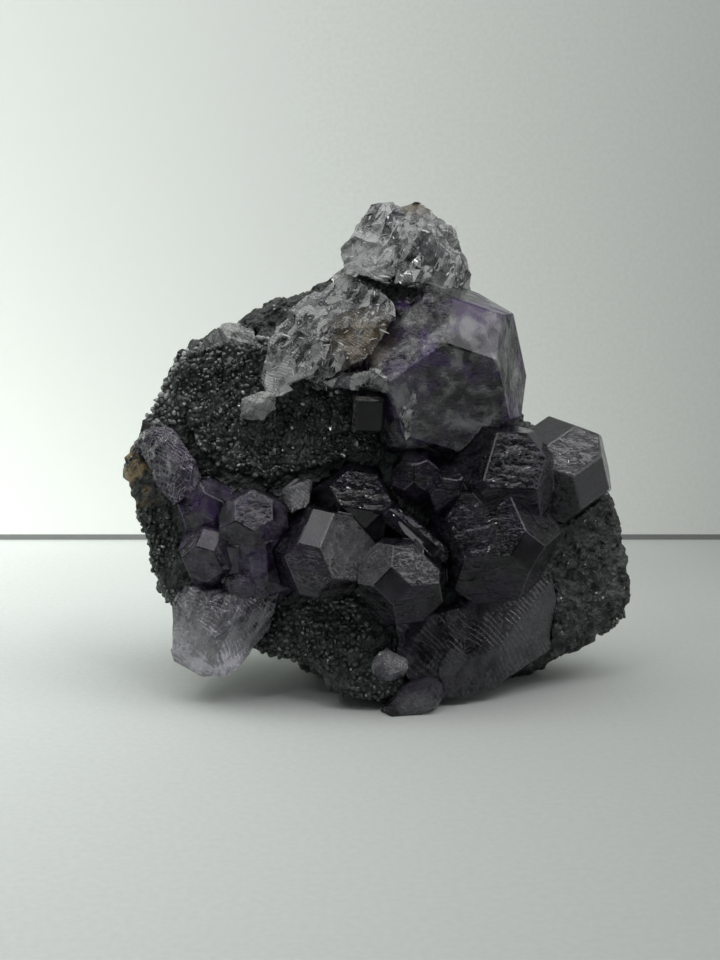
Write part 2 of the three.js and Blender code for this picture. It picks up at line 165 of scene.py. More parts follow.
def mapRange(tree, value, low, high, newLow=0.0, newHigh=1.0):
    made = addNode(tree, "ShaderNodeMapRange", {"Value": value, "From Min": low, "From Max": high,
                                                "To Min": newLow, "To Max": newHigh})
    return made.outputs["Result"]


# the camera, floor, wall and lights

studio = {
    "camera": Vector((0, -229, 82)),  # in the growth plan, mm
    "cameraPitch": 80,  # degrees up from straight down
    "lens": 70,
    "wallPlace": 0.120,  # from here on in metres
    "wallFoot": 0.0016,  # a thin strip between the floor and the wall, painted dark as painted shade of the gap
    "jointPlace": 0.1205,
    "floorHalf": 1.3,
    "wallHeight": 1.1,
    # The painted light and shade of each surface: how bright it is painted on the left and right, far away
    # and in front. The wall's glow is painted light, for what the rest of the room adds to the wall.
    "floor": {"colour": (0.445, 0.465, 0.448), "left": 2.0, "right": 0.55, "far": 0.3, "front": 0.75,
              "oneSided": False},
    "joint": {"colour": (0.30, 0.31, 0.30), "left": 1.3, "right": 0.6, "far": 1.0, "front": 1.0,
              "oneSided": True},
    "wall": {"colour": (0.80, 0.835, 0.79), "left": 1.3, "right": 0.42, "far": 0.9, "front": 1.0,
             "oneSided": True, "paintedGlow": 0.30},
    # Where that changes, in metres: across, away from the middle, towards the camera, up the wall
    "fade": {"left": -0.12, "right": 0.14, "close": 0.2, "far": 0.5, "back": 0.05, "front": -0.15,
             "low": 0.02, "high": 0.24},
    "outside": {"from": -0.105, "to": -0.2, "share": 0.15},  # the floor before the picture, painted darker as painted shade for the crystal faces to mirror
    "lightsFace": Vector((0, 0, 0.04)),  # the side light and the lamps turn towards this point
    "softboxPower": 5.85,
    "softboxSize": (1.4, 0.56),
    "softboxPlace": (0.05, -0.13, 0.76),
    "softboxTilt": 8,  # towards the wall
    "sideLightPower": 0.38,  # a weak light on the right, for the etched faces
    "sideLightSize": (0.40, 0.34),
    "sideLightPlace": (0.42, -0.09, 0.25),
    "lamps": [((-0.30, -0.40, 0.50), 0.25), ((0.22, -0.32, 0.55), 0.2)],  # small, for the sparkle
    "lampSize": 0.05,
    "roomColour": (0.10, 0.105, 0.11),  # what the dim room reflects
    "farColour": (0.42, 0.44, 0.43),  # and how it looks past the end of the floor
}


def placeCamera():
    bpy.ops.object.camera_add(location=place(*studio["camera"]),
                              rotation=(math.radians(studio["cameraPitch"]), 0, 0))
    camera = bpy.context.active_object
    camera.name = "camera"
    camera.data.lens = studio["lens"]
    camera.data.sensor_width = 36
    camera.data.sensor_fit = "HORIZONTAL"
    camera.data.clip_start = 0.01
    bpy.context.scene.camera = camera


def paintedLightStageMaterial(name, look):  # plain paint with painted light and shade, brighter on the left
    material, tree, shader = newMaterial(name)
    feed(tree, shader, {"Roughness": 0.75, "Specular IOR Level": 0.2})
    coords = addNode(tree, "ShaderNodeTexCoord").outputs["Object"]
    apart = addNode(tree, "ShaderNodeSeparateXYZ", {0: coords})
    fade, outside = studio["fade"], studio["outside"]
    # painted light and shade: brighter on the left, darker far from the middle and towards the camera
    across = mapRange(tree, apart.outputs["X"], fade["left"], fade["right"], look["left"], look["right"])
    away = vectorNode(tree, "LENGTH", {0: coords})
    far = mapRange(tree, away.outputs["Value"], fade["close"], fade["far"], 1.0, look["far"])
    forward = mapRange(tree, apart.outputs["Y"], fade["back"], fade["front"], 1.0, look["front"])
    grain = addNode(tree, "ShaderNodeTexNoise", {"Vector": coords, "Scale": 900.0, "Detail": 3.0})
    bright = mapRange(tree, grain.outputs["Fac"], 0.3, 0.7, 0.97, 1.03)
    # painted shade: the floor darker in front, for the crystal faces to mirror
    paintedShadeAhead = mapRange(tree, apart.outputs["Y"], outside["from"], outside["to"], 1.0, outside["share"])
    for share in (across, far, forward, paintedShadeAhead):
        bright = product(tree, bright, share)
    tint = vectorNode(tree, "SCALE", {0: look["colour"], "Scale": bright}).outputs[0]
    feed(tree, shader, {"Base Color": tint})
    # painted light: the wall glows, less towards the top, for the light the rest of the room adds
    if "paintedGlow" in look:
        upwards = mapRange(tree, apart.outputs["Z"], fade["low"], fade["high"], 1.0, 0.5)
        paintedGlowColour = vectorNode(tree, "SCALE", {0: tint, "Scale": upwards})
        feed(tree, shader, {"Emission Color": paintedGlowColour.outputs[0], "Emission Strength": look["paintedGlow"]})
    if look["oneSided"]:  # seen from behind, the wall isn't there
        behind = addNode(tree, "ShaderNodeNewGeometry").outputs["Backfacing"]
        clear = addNode(tree, "ShaderNodeBsdfTransparent").outputs[0]
        choose = addNode(tree, "ShaderNodeMixShader", {0: behind, 1: shader.outputs[0], 2: clear})
        feed(tree, tree.nodes["Material Output"], {"Surface": choose.outputs[0]})
    return material


def stagePlane(name, size, where, turn, material):
    bpy.ops.mesh.primitive_plane_add(size=1, location=where, rotation=turn)
    plane = bpy.context.active_object
    plane.name = name
    plane.scale = (*size, 1)
    bpy.ops.object.transform_apply(location=True, rotation=True, scale=True)
    plane.data.materials.append(material)
    return plane


def areaLight(name, where, turn, size, power):
    bpy.ops.object.light_add(type="AREA", location=where, rotation=turn)
    light = bpy.context.active_object
    light.name = name
    light.data.shape = "RECTANGLE"
    light.data.size, light.data.size_y = size
    light.data.energy = power


def aimedLight(name, where, size, power):  # a light that faces the crystals
    facing = (Vector(where) - studio["lightsFace"]).to_track_quat("Z", "Y").to_euler()
    areaLight(name, where, facing, size, power)


def buildStudio():
    half, wallHeight, foot = studio["floorHalf"], studio["wallHeight"], studio["wallFoot"]
    upright = (math.radians(90), 0, 0)
    stagePlane("floor", (2 * half, 2 * half), (0, 0, 0), (0, 0, 0),
               paintedLightStageMaterial("floorPaintAndPaintedLight", studio["floor"]))
    stagePlane("joint", (2 * half, 2 * foot), (0, studio["jointPlace"], foot), upright,
               paintedLightStageMaterial("jointShade", studio["joint"]))
    stagePlane("wall", (2 * half, wallHeight), (0, studio["wallPlace"], wallHeight / 2 + foot), upright,
               paintedLightStageMaterial("wallPaintAndPaintedLight", studio["wall"]))
    areaLight("softbox", studio["softboxPlace"], (math.radians(studio["softboxTilt"]), 0, 0),
              studio["softboxSize"], studio["softboxPower"])
    aimedLight("sideLight", studio["sideLightPlace"], studio["sideLightSize"], studio["sideLightPower"])
    for where, power in studio["lamps"]:
        aimedLight("lamp", where, (studio["lampSize"], studio["lampSize"]), power)
    world = bpy.data.worlds.new("dimRoom")
    world.use_nodes = True
    tree = world.node_tree
    seen = addNode(tree, "ShaderNodeLightPath")
    shade = blendColour(tree, seen.outputs["Is Camera Ray"], studio["roomColour"], studio["farColour"])
    feed(tree, tree.nodes["Background"], {"Color": shade})
    bpy.context.scene.world = world
    bpy.context.scene.view_settings.view_transform = "Standard"


placeCamera()
buildStudio()
print("studio ready")


# effects that several materials share


def newGroup(name, inputs, outputs):
    tree = bpy.data.node_groups.new(name, "ShaderNodeTree")
    for label, kind, value in inputs:
        socket = tree.interface.new_socket(label, in_out="INPUT", socket_type=kind)
        if value is not None:
            socket.default_value = value
    for label, kind in outputs:
        tree.interface.new_socket(label, in_out="OUTPUT", socket_type=kind)
    return tree, addNode(tree, "NodeGroupInput"), addNode(tree, "NodeGroupOutput")


def colourZones():  # soft cloudy zones inside a crystal, from 0 to 1
    tree, start, end = newGroup("colourZones",
                                [("Vector", "NodeSocketVector", None), ("Scale", "NodeSocketFloat", 150.0),
                                 ("Low", "NodeSocketFloat", 0.42), ("High", "NodeSocketFloat", 0.62)],
                                [("Zones", "NodeSocketFloat")])
    cloud = addNode(tree, "ShaderNodeTexNoise",
                    {"Vector": start.outputs["Vector"], "Scale": start.outputs["Scale"],
                     "Detail": 4.0, "Roughness": 0.55, "Distortion": 0.6})
    sharp = addNode(tree, "ShaderNodeMapRange",
                    {"Value": cloud.outputs["Fac"], "From Min": start.outputs["Low"],
                     "From Max": start.outputs["High"]}, interpolation_type="SMOOTHSTEP")
    feed(tree, end, {"Zones": sharp.outputs["Result"]})
    return tree


def etchRelief():  # short narrow ridges, as acid leaves them on a crystal face, over shallow hollows
    tree, start, end = newGroup("etchRelief",
                                [("Vector", "NodeSocketVector", None), ("Scale", "NodeSocketFloat", 900.0)],
                                [("Height", "NodeSocketFloat"), ("Ridges", "NodeSocketFloat")])
    flat = addNode(tree, "ShaderNodeMapping",
                   {"Vector": start.outputs["Vector"], "Scale": (0.7, 1.0, 1.35)})
    worms = addNode(tree, "ShaderNodeTexNoise", {"Detail": 1.5, "Roughness": 0.5, "Distortion": 0.9})
    hollows = addNode(tree, "ShaderNodeTexNoise", {"Detail": 2.0, "Roughness": 0.5})
    for texture, factor in ((worms, 1.0), (hollows, 0.3)):
        scale = product(tree, start.outputs["Scale"], factor)
        feed(tree, texture, {"Vector": flat.outputs["Vector"], "Scale": scale})
    off = mathNode(tree, "SUBTRACT", worms.outputs["Fac"], 0.5)
    off = addNode(tree, "ShaderNodeMath", {0: off}, operation="ABSOLUTE").outputs[0]
    ridgeWidth, ridgeHeight, hollowDepth = 0.06, 0.45, 2.5
    ridges = mapRange(tree, off, 0.0, ridgeWidth, 1.0, 0.0)
    ridges = product(tree, ridges, mapRange(tree, hollows.outputs["Fac"], 0.38, 0.55, 0.1, 1.0))
    deep = product(tree, hollows.outputs["Fac"], hollowDepth)
    total = mathNode(tree, "ADD", product(tree, ridges, ridgeHeight), deep)
    feed(tree, end, {"Height": total, "Ridges": ridges})
    return tree


def fractureRelief():  # long flat splinters, each tilted its own way, over the curved ribs of a break
    tree, start, end = newGroup("fractureRelief",
                                [("Vector", "NodeSocketVector", None), ("Scale", "NodeSocketFloat", 600.0),
                                 ("Ribs", "NodeSocketFloat", 0.3), ("RibScale", "NodeSocketFloat", 700.0)],
                                [("Height", "NodeSocketFloat"), ("Shade", "NodeSocketFloat"),
                                 ("Lines", "NodeSocketFloat")])
    lean = addNode(tree, "ShaderNodeMapping",
                   {"Vector": start.outputs["Vector"], "Rotation": (0, 0.5, 0), "Scale": (0.65, 1.0, 1.6)},
                   vector_type="TEXTURE").outputs["Vector"]  # the splinters lean to the right
    bend = addNode(tree, "ShaderNodeTexNoise", {"Vector": lean, "Scale": 260.0, "Detail": 2.0})
    wander = [0.0022] * 3  # of the splinters' borders, in metres
    spot = vectorNode(tree, "MULTIPLY_ADD", {0: bend.outputs["Color"], 1: wander, 2: lean}).outputs[0]
    total, tone = 0.0, 0.0
    layers = ((1.0, 1.0), (2.6, 0.45))  # scale and weight: coarse splinters and finer ones over them
    fullWeight = sum(weight for factor, weight in layers)
    for factor, weight in layers:
        scale = product(tree, start.outputs["Scale"], factor)
        cells = addNode(tree, "ShaderNodeTexVoronoi", {"Vector": spot, "Scale": scale}, feature="F1")
        fromMiddle = vectorNode(tree, "SUBTRACT", {0: spot, 1: cells.outputs["Position"]})
        tilt = vectorNode(tree, "SUBTRACT", {0: cells.outputs["Color"], 1: (0.5, 0.5, 0.5)})
        slope = vectorNode(tree, "DOT_PRODUCT", {0: fromMiddle.outputs[0], 1: tilt.outputs[0]})
        facet = product(tree, slope.outputs["Value"], start.outputs["Scale"])
        facet = product(tree, facet, weight)
        total = mathNode(tree, "ADD", total, facet)
        shade = addNode(tree, "ShaderNodeSeparateColor", {0: cells.outputs["Color"]})
        tone = mathNode(tree, "ADD", tone, product(tree, shade.outputs[1], weight / fullWeight))
    ribs = addNode(tree, "ShaderNodeTexWave",
                   {"Vector": start.outputs["Vector"], "Scale": start.outputs["RibScale"],
                    "Distortion": 11.0, "Detail": 3.0, "Detail Scale": 0.3},
                   wave_type="BANDS", bands_direction="DIAGONAL")
    curve = product(tree, ribs.outputs["Fac"], start.outputs["Ribs"])
    borders = addNode(tree, "ShaderNodeTexVoronoi",
                      {"Vector": spot, "Scale": product(tree, start.outputs["Scale"], 1.3)},
                      feature="DISTANCE_TO_EDGE")
    thin = mapRange(tree, borders.outputs["Distance"], 0.015, 0.045, 1.0, 0.0)
    lines = product(tree, thin, mapRange(tree, bend.outputs["Fac"], 0.45, 0.55))
    feed(tree, end, {"Height": mathNode(tree, "ADD", total, curve), "Shade": tone, "Lines": lines})
    return tree


def mineralSpecks():  # scattered specks, from 0 to 1
    tree, start, end = newGroup("mineralSpecks",
                                [("Vector", "NodeSocketVector", None), ("Scale", "NodeSocketFloat", 900.0),
                                 ("Share", "NodeSocketFloat", 0.12)],
                                [("Specks", "NodeSocketFloat")])
    cells = addNode(tree, "ShaderNodeTexVoronoi",
                    {"Vector": start.outputs["Vector"], "Scale": start.outputs["Scale"]}, feature="F1")
    apart = addNode(tree, "ShaderNodeSeparateColor", {0: cells.outputs["Color"]})
    chosen = mathNode(tree, "LESS_THAN", apart.outputs[0], start.outputs["Share"])
    speckSize = 0.36
    dot = mathNode(tree, "LESS_THAN", cells.outputs["Distance"], speckSize)
    feed(tree, end, {"Specks": product(tree, chosen, dot)})
    return tree


zonesGroup = colourZones()
etchGroup = etchRelief()
breakGroup = fractureRelief()
speckGroup = mineralSpecks()


def placeGroup(tree, group, vector, **values):
    return addNode(tree, "ShaderNodeGroup", {"Vector": vector, **values}, node_tree=group)


def useGroup(tree, group, vector, **values):
    return placeGroup(tree, group, vector, **values).outputs[0]


# the materials


def fluoriteMaterial(name, look):
    material, tree, shader = newMaterial(name)
    feed(tree, shader, {"Transmission Weight": look["seeThrough"], "IOR": look["ior"]})
    coords = addNode(tree, "ShaderNodeTexCoord").outputs["Object"]
    finish = addNode(tree, "ShaderNodeAttribute", attribute_name="finish")
    masks = addNode(tree, "ShaderNodeSeparateColor", {0: finish.outputs["Color"]})
    etched, broken, clear = masks.outputs
    stainAndShade = finish.outputs["Alpha"]

    zones = useGroup(tree, zonesGroup, coords, Scale=look["zoneScale"], Low=look["zoneLow"],
                     High=look["zoneHigh"])
    veils = useGroup(tree, zonesGroup, coords, Scale=look["zoneScale"] * look["veilScale"],
                     Low=look["veilLow"], High=look["veilHigh"])
    violet = useGroup(tree, zonesGroup, coords, Scale=look["zoneScale"] * look["violetScale"],
                      Low=look["violetLow"], High=look["violetHigh"])
    pale = blendColour(tree, broken, look["facePale"], look["pale"])
    body = blendColour(tree, zones, look["deep"], pale)
    violet = product(tree, violet, mapRange(tree, broken, 0.0, 1.0, 0.8, 0.1))
    body = blendColour(tree, violet, body, look["violet"])
    veils = product(tree, veils, mapRange(tree, broken, 0.0, 1.0, look["faceVeil"], look["veil"]))
    body = blendColour(tree, veils, body, look["clear"])
    # clear: the crystals' own pale zones, and painted light where reflections and the bright wall seen
    # through are painted in
    paleAndLitBlend = product(tree, clear, mapRange(tree, broken, 0.0, 1.0, 0.9, 0.7))
    body = blendColour(tree, paleAndLitBlend, body, look["clear"])
    etch = placeGroup(tree, etchGroup, coords, Scale=look["etchScale"])
    fracture = placeGroup(tree, breakGroup, coords, Scale=look["facetScale"], Ribs=look["ribs"],
                          RibScale=look["ribScale"])
    spots = useGroup(tree, zonesGroup, coords, Scale=look["spotScale"], Low=0.36, High=0.56)
    # stain: real stains, and on the hollow crystal painted shade
    stain = product(tree, stainAndShade, mapRange(tree, spots, 0.0, 1.0, 0.45, 1.0))
    body = blendColour(tree, stain, body, look["stain"])
    tone = mathNode(tree, "ADD", fracture.outputs["Shade"], product(tree, clear, look["clearLift"]))
    tone = mathNode(tree, "SUBTRACT", tone, product(tree, stainAndShade, 0.3))
    frost = mapRange(tree, tone, look["frostLow"], look["frostHigh"], 0.0, look["frosted"])
    frost = product(tree, broken, frost)
    body = blendColour(tree, frost, body, look["frost"])
    # etch ridges: frosted and painted bright as painted glints where the face is not clear; dark lines on
    # clear faces
    ridges = mapRange(tree, clear, 0.0, 0.4, look["etchFrostAndGlint"], 1.0)
    ridges = product(tree, product(tree, etch.outputs["Ridges"], ridges), etched)
    ridgeFrostAndGlintColour = blendColour(tree, mapRange(tree, clear, 0.1, 0.25), look["frost"], look["deep"])
    body = blendColour(tree, ridges, body, ridgeFrostAndGlintColour)
    lines = product(tree, product(tree, broken, fracture.outputs["Lines"]), look["lineShare"])
    body = blendColour(tree, lines, body, blendColour(tree, frost, look["frost"], look["deep"]))
    for centre, reach in look.get("gold", []):
        away = vectorNode(tree, "DISTANCE", {0: coords, 1: place(*centre)})
        around = mapRange(tree, away.outputs["Value"], reach * mm, 0.3 * reach * mm)
        golden = product(tree, around, mapRange(tree, spots, 0.0, 1.0, 0.15, 0.75))
        body = blendColour(tree, golden, body, look["goldColour"])

    smear = addNode(tree, "ShaderNodeTexNoise",
                    {"Vector": coords, "Scale": look["smearScale"], "Detail": 4.0})
    rough = product(tree, smear.outputs["Fac"], look["smoothRough"])
    rough = mathNode(tree, "ADD", rough, product(tree, etched, look["etchedRough"]))
    rough = mathNode(tree, "ADD", rough, product(tree, broken, look["brokenRough"]))

    etching = product(tree, product(tree, etched, etch.outputs["Height"]), look["etchDepth"])
    breaking = product(tree, product(tree, broken, fracture.outputs["Height"]), look["breakDepth"])
    height = mathNode(tree, "ADD", etching, breaking)
    height = mathNode(tree, "ADD", height, product(tree, smear.outputs["Fac"], look["smearDepth"]))
    bump = addNode(tree, "ShaderNodeBump",
                   {"Height": height, "Strength": 1.0, "Distance": look["bumpUnit"]})
    feed(tree, shader, {"Base Color": body, "Roughness": rough, "Normal": bump.outputs["Normal"]})

    absorb = addNode(tree, "ShaderNodeVolumeAbsorption",
                     {"Color": look["absorbColour"], "Density": look["absorbDensity"]})
    feed(tree, tree.nodes["Material Output"], {"Volume": absorb.outputs[0]})
    return material


# Scales are in cells to the metre. Depths are in tenths of a millimetre, which is the bump unit.
darkFluoriteLook = {
    "deep": (0.008, 0.006, 0.013), "pale": (0.13, 0.115, 0.165), "facePale": (0.045, 0.036, 0.066),
    "clear": (0.85, 0.84, 0.88), "veil": 0.2, "faceVeil": 0.08,
    "violet": (0.06, 0.036, 0.11), "stain": (0.020, 0.023, 0.021),
    "zoneScale": 130.0, "zoneLow": 0.47, "zoneHigh": 0.64,
    "smoothRough": 0.04, "etchedRough": 0.07, "brokenRough": 0.07,
    "etchScale": 1450.0, "etchDepth": 2.2, "etchFrostAndGlint": 0.35,
    "facetScale": 330.0, "ribs": 0.14, "ribScale": 420.0, "breakDepth": 5.0,
    "frosted": 0.5, "frost": (0.42, 0.42, 0.45), "frostLow": 0.50, "frostHigh": 0.80, "clearLift": 0.2,
    "absorbColour": (0.36, 0.24, 0.46), "absorbDensity": 110.0, "seeThrough": 0.82, "ior": 1.434,
    "veilScale": 2.0, "veilLow": 0.43, "veilHigh": 0.72,  # both scales as a share of the zones' scale
    "violetScale": 0.7, "violetLow": 0.5, "violetHigh": 0.62,
    "spotScale": 420.0, "smearScale": 400.0, "smearDepth": 0.05, "lineShare": 0.75, "bumpUnit": 0.0001,
}
upperFluoriteLook = {
    **darkFluoriteLook,
    "deep": (0.012, 0.010, 0.016), "pale": (0.13, 0.12, 0.15), "facePale": (0.09, 0.075, 0.12),
    "clear": (0.93, 0.95, 0.93), "veil": 0.6, "faceVeil": 0.65,
    "violet": (0.12, 0.045, 0.26),
    "zoneScale": 125.0, "zoneLow": 0.49, "zoneHigh": 0.57,
    "absorbColour": (0.62, 0.52, 0.70), "absorbDensity": 28.0,
    "smoothRough": 0.05, "etchedRough": 0.06, "brokenRough": 0.05, "etchFrostAndGlint": 0.12, "seeThrough": 0.64,
    "facetScale": 520.0, "ribs": 0.05, "ribScale": 800.0, "breakDepth": 9.0,
    "frosted": 0.97, "frost": (0.93, 0.96, 0.93), "frostLow": 0.52, "frostHigh": 0.64, "clearLift": 0.32,
    "gold": [((0, 12, 64), 7), ((9, 27, 87), 5)],  # place and reach in mm
    "goldColour": (0.36, 0.28, 0.16),
}
lilacFluoriteLook = {
    **darkFluoriteLook,
    "deep": (0.024, 0.017, 0.036), "pale": (0.22, 0.19, 0.27), "facePale": (0.13, 0.105, 0.18),
    "clear": (0.90, 0.90, 0.92), "veil": 0.4, "faceVeil": 0.2,
    "violet": (0.11, 0.06, 0.21), "stain": (0.10, 0.07, 0.15),
    "zoneScale": 170.0, "absorbColour": (0.50, 0.38, 0.6), "absorbDensity": 70.0,
    "smoothRough": 0.06, "etchedRough": 0.09, "brokenRough": 0.09, "etchFrostAndGlint": 0.25, "seeThrough": 0.70,
    "facetScale": 520.0, "ribs": 0.10, "ribScale": 600.0, "breakDepth": 6.0,
    "frosted": 0.7, "frost": (0.88, 0.88, 0.90), "frostLow": 0.38, "frostHigh": 0.9,
}
darkFluorite = fluoriteMaterial("darkFluorite", darkFluoriteLook)
upperFluorite = fluoriteMaterial("upperFluorite", upperFluoriteLook)
lilacFluorite = fluoriteMaterial("lilacFluorite", lilacFluoriteLook)


# the colours of the edge strips, painted as highlights
edgeHighlightLook = {
    "dull": (0.12, 0.10, 0.15), "bright": (0.93, 0.92, 0.95), "scale": 420.0,
    "dullRough": 0.16, "brightRough": 0.4,
}


def edgeHighlightMaterial():  # strips along the crystals' edges painted as edge highlights, brighter and rougher in some places
    material, tree, shader = newMaterial("paintedEdgeHighlights")
    coords = addNode(tree, "ShaderNodeTexCoord").outputs["Object"]
    bright = useGroup(tree, zonesGroup, coords, Scale=edgeHighlightLook["scale"], Low=0.36, High=0.52)
    body = blendColour(tree, bright, edgeHighlightLook["dull"], edgeHighlightLook["bright"])
    rough = mapRange(tree, bright, 0.0, 1.0, edgeHighlightLook["dullRough"], edgeHighlightLook["brightRough"])
    feed(tree, shader, {"Base Color": body, "Roughness": rough})
    return material


# painted glints: the colour of the flakes
flakeLook = {"colour": (0.78, 0.80, 0.80), "roughness": 0.18}


def paintedGlintFlakeMaterial():  # plain, and painted pale as painted glints, so each flake glitters as a whole
    material, tree, shader = newMaterial("paintedGlintFlake")
    feed(tree, shader, {"Base Color": flakeLook["colour"], "Roughness": flakeLook["roughness"]})
    return material


paintedEdgeHighlights = edgeHighlightMaterial()
paintedGlintFlake = paintedGlintFlakeMaterial()


rockLook = {
    "dark": (0.008, 0.010, 0.009), "green": (0.064, 0.075, 0.070), "brown": (0.28, 0.20, 0.10),
    "bright": (0.42, 0.46, 0.44),
    "brownPlace": place(-41, 17, 41), "brownReach": 0.009, "brownScale": 500.0,
    "broadScale": 190.0, "fineScale": 700.0, "speckScale": 1500.0, "speckShare": 0.02,
    "gravelScale": 1300.0, "gravelDepth": 0.6, "gritScale": 700.0, "bumpUnit": 0.0005,
}


def rockMaterial():  # dark and green, gritty, with a few bright specks and one brown stain
    material, tree, shader = newMaterial("chloriteRock")
    coords = addNode(tree, "ShaderNodeTexCoord").outputs["Object"]
    broad = useGroup(tree, zonesGroup, coords, Scale=rockLook["broadScale"], Low=0.45, High=0.6)
    fine = useGroup(tree, zonesGroup, coords, Scale=rockLook["fineScale"], Low=0.42, High=0.6)
    specks = useGroup(tree, speckGroup, coords, Scale=rockLook["speckScale"],
                      Share=rockLook["speckShare"])
    shade = product(tree, mathNode(tree, "ADD", broad, fine), 0.5)
    body = blendColour(tree, shade, rockLook["dark"], rockLook["green"])
    away = vectorNode(tree, "DISTANCE", {0: coords, 1: rockLook["brownPlace"]})
    reach = rockLook["brownReach"]
    around = mapRange(tree, away.outputs["Value"], reach, 0.2 * reach)
    patchy = useGroup(tree, zonesGroup, coords, Scale=rockLook["brownScale"], Low=0.45, High=0.6)
    body = blendColour(tree, product(tree, around, patchy), body, rockLook["brown"])
    body = blendColour(tree, specks, body, rockLook["bright"])
    rough = mapRange(tree, fine, 0.0, 1.0, 0.5, 0.24)
    rough = mathNode(tree, "SUBTRACT", rough, product(tree, specks, 0.25))
    gravel = addNode(tree, "ShaderNodeTexVoronoi",
                     {"Vector": coords, "Scale": rockLook["gravelScale"]}, feature="F1")
    grit = addNode(tree, "ShaderNodeTexNoise",
                   {"Vector": coords, "Scale": rockLook["gritScale"], "Detail": 8.0, "Roughness": 0.65})
    pebbles = product(tree, gravel.outputs["Distance"], rockLook["gravelDepth"])
    height = mathNode(tree, "SUBTRACT", grit.outputs["Fac"], pebbles)
    bump = addNode(tree, "ShaderNodeBump",
                   {"Height": height, "Strength": 1.0, "Distance": rockLook["bumpUnit"]})
    feed(tree, shader, {"Base Color": body, "Roughness": rough, "Normal": bump.outputs["Normal"]})
    return material


darkDruseLook = {"dark": (0.010, 0.014, 0.012), "light": (0.078, 0.093, 0.084), "paintedSparkle": 0.012}
silverDruseLook = {"dark": (0.04, 0.045, 0.043), "light": (0.50, 0.52, 0.51), "paintedSparkle": 0.1}


def druseMaterial(name, look):  # dull grains, and a share of them painted bright as painted glints
    material, tree, shader = newMaterial(name)
    coords = addNode(tree, "ShaderNodeTexCoord").outputs["Object"]
    broad = useGroup(tree, zonesGroup, coords, Scale=260.0, Low=0.4, High=0.65)
    fine = useGroup(tree, zonesGroup, coords, Scale=900.0, Low=0.42, High=0.6)
    paintedGlints = useGroup(tree, speckGroup, coords, Scale=900.0, Share=look["paintedSparkle"])
    shade = product(tree, mathNode(tree, "ADD", broad, fine), 0.5)
    body = blendColour(tree, shade, look["dark"], look["light"])
    # painted glints: single grains painted pale
    body = blendColour(tree, paintedGlints, body, (0.45, 0.46, 0.46))
    feed(tree, shader, {"Base Color": body, "Roughness": mapRange(tree, broad, 0.0, 1.0, 0.2, 0.4),
                        "Coat Weight": product(tree, fine, 0.6), "Coat Roughness": 0.08})
    return material


chloriteRock = rockMaterial()
darkDruse = druseMaterial("darkDruse", darkDruseLook)
silverDruse = druseMaterial("silverDruse", silverDruseLook)
print("materials ready")


# the crystals

# Centre, turn and half sizes as in the growth plan: mm and degrees, turned about x, then the
# turned y, then the turned z. `cut` is how far the edges of the box are cut back.
lowerCrystals = [
    {"at": (-6.4, 8, 27.2), "turn": (-53.3, 16.3, -89.4), "half": (8.1, 8.7, 9.3), "cut": 6.6},
    {"at": (7.3, 5, 23.3), "turn": (8.8, 42.1, -106.5), "half": (7.3, 7.5, 6.9), "cut": 4.7},
    {"at": (-0.6, 18.5, 32.7), "turn": (-174.7, 80.3, 6), "half": (9.2, 9.6, 8.6), "cut": 5.5},
    {"at": (24.7, 13, 39.9), "turn": (24.4, 44, -124.2), "half": (10.1, 10.2, 9.9), "cut": 8.6},
    {"at": (23.1, 12, 29.2), "turn": (-89.8, -26.9, 127.1), "half": (11.7, 11.7, 11.7), "cut": 9.2},
    {"at": (36, 22, 39.6), "turn": (99.9, 35.4, -160), "half": (8.6, 8.6, 8.6), "cut": 5},
    {"at": (10, 13, 40), "turn": (30, 40, -100), "half": (4.6, 4.6, 4.6), "cut": 3.2},
    {"at": (17.2, 12, 37), "turn": (15, 35, -80), "half": (5.4, 5.4, 5.4), "cut": 3.6},
    {"at": (9.8, 9.5, 30.5), "turn": (0, 38, -20), "half": (6.5, 3.6, 1.8), "cut": 1.1},
    {"at": (11.6, 9, 29.6), "turn": (0, 38, -20), "half": (5.6, 3.6, 1.6), "cut": 1},
]
upperCrystals = [
    {"at": (13.9, 22, 56.7), "turn": (-34.8, 9.1, -69.2), "half": (15.5, 15, 15), "cut": 10.3},
]
leftCrystals = [
    {"at": (-27, 13, 34.3), "turn": (-19.6, 25, 12.7), "half": (5, 5, 5), "cut": 3.2},
    {"at": (-18.6, 10, 31.8), "turn": (-132, -49.5, -95.5), "half": (6.4, 6.4, 6.4), "cut": 4.4},
    {"at": (-16.8, 9.5, 25.5), "turn": (4, -3, 40), "half": (4.2, 4.2, 6.5), "cut": 1.8},
    {"at": (-20.8, 9, 26), "turn": (4, -3, 62), "half": (3.6, 3.6, 5), "cut": 1.6},
    {"at": (-25.5, 11, 26.5), "turn": (-35, 20, -95), "half": (6, 6, 6), "cut": 4.2},
    {"at": (-20.5, 7, 22), "turn": (20, 10, 30), "half": (3, 3, 3), "cut": 2},
]
hollowCrystals = [
    {"at": (1, 12.5, 51.6), "turn": (8, 4, 10), "half": (2.9, 3.6, 3.4), "cut": 0.8},
]


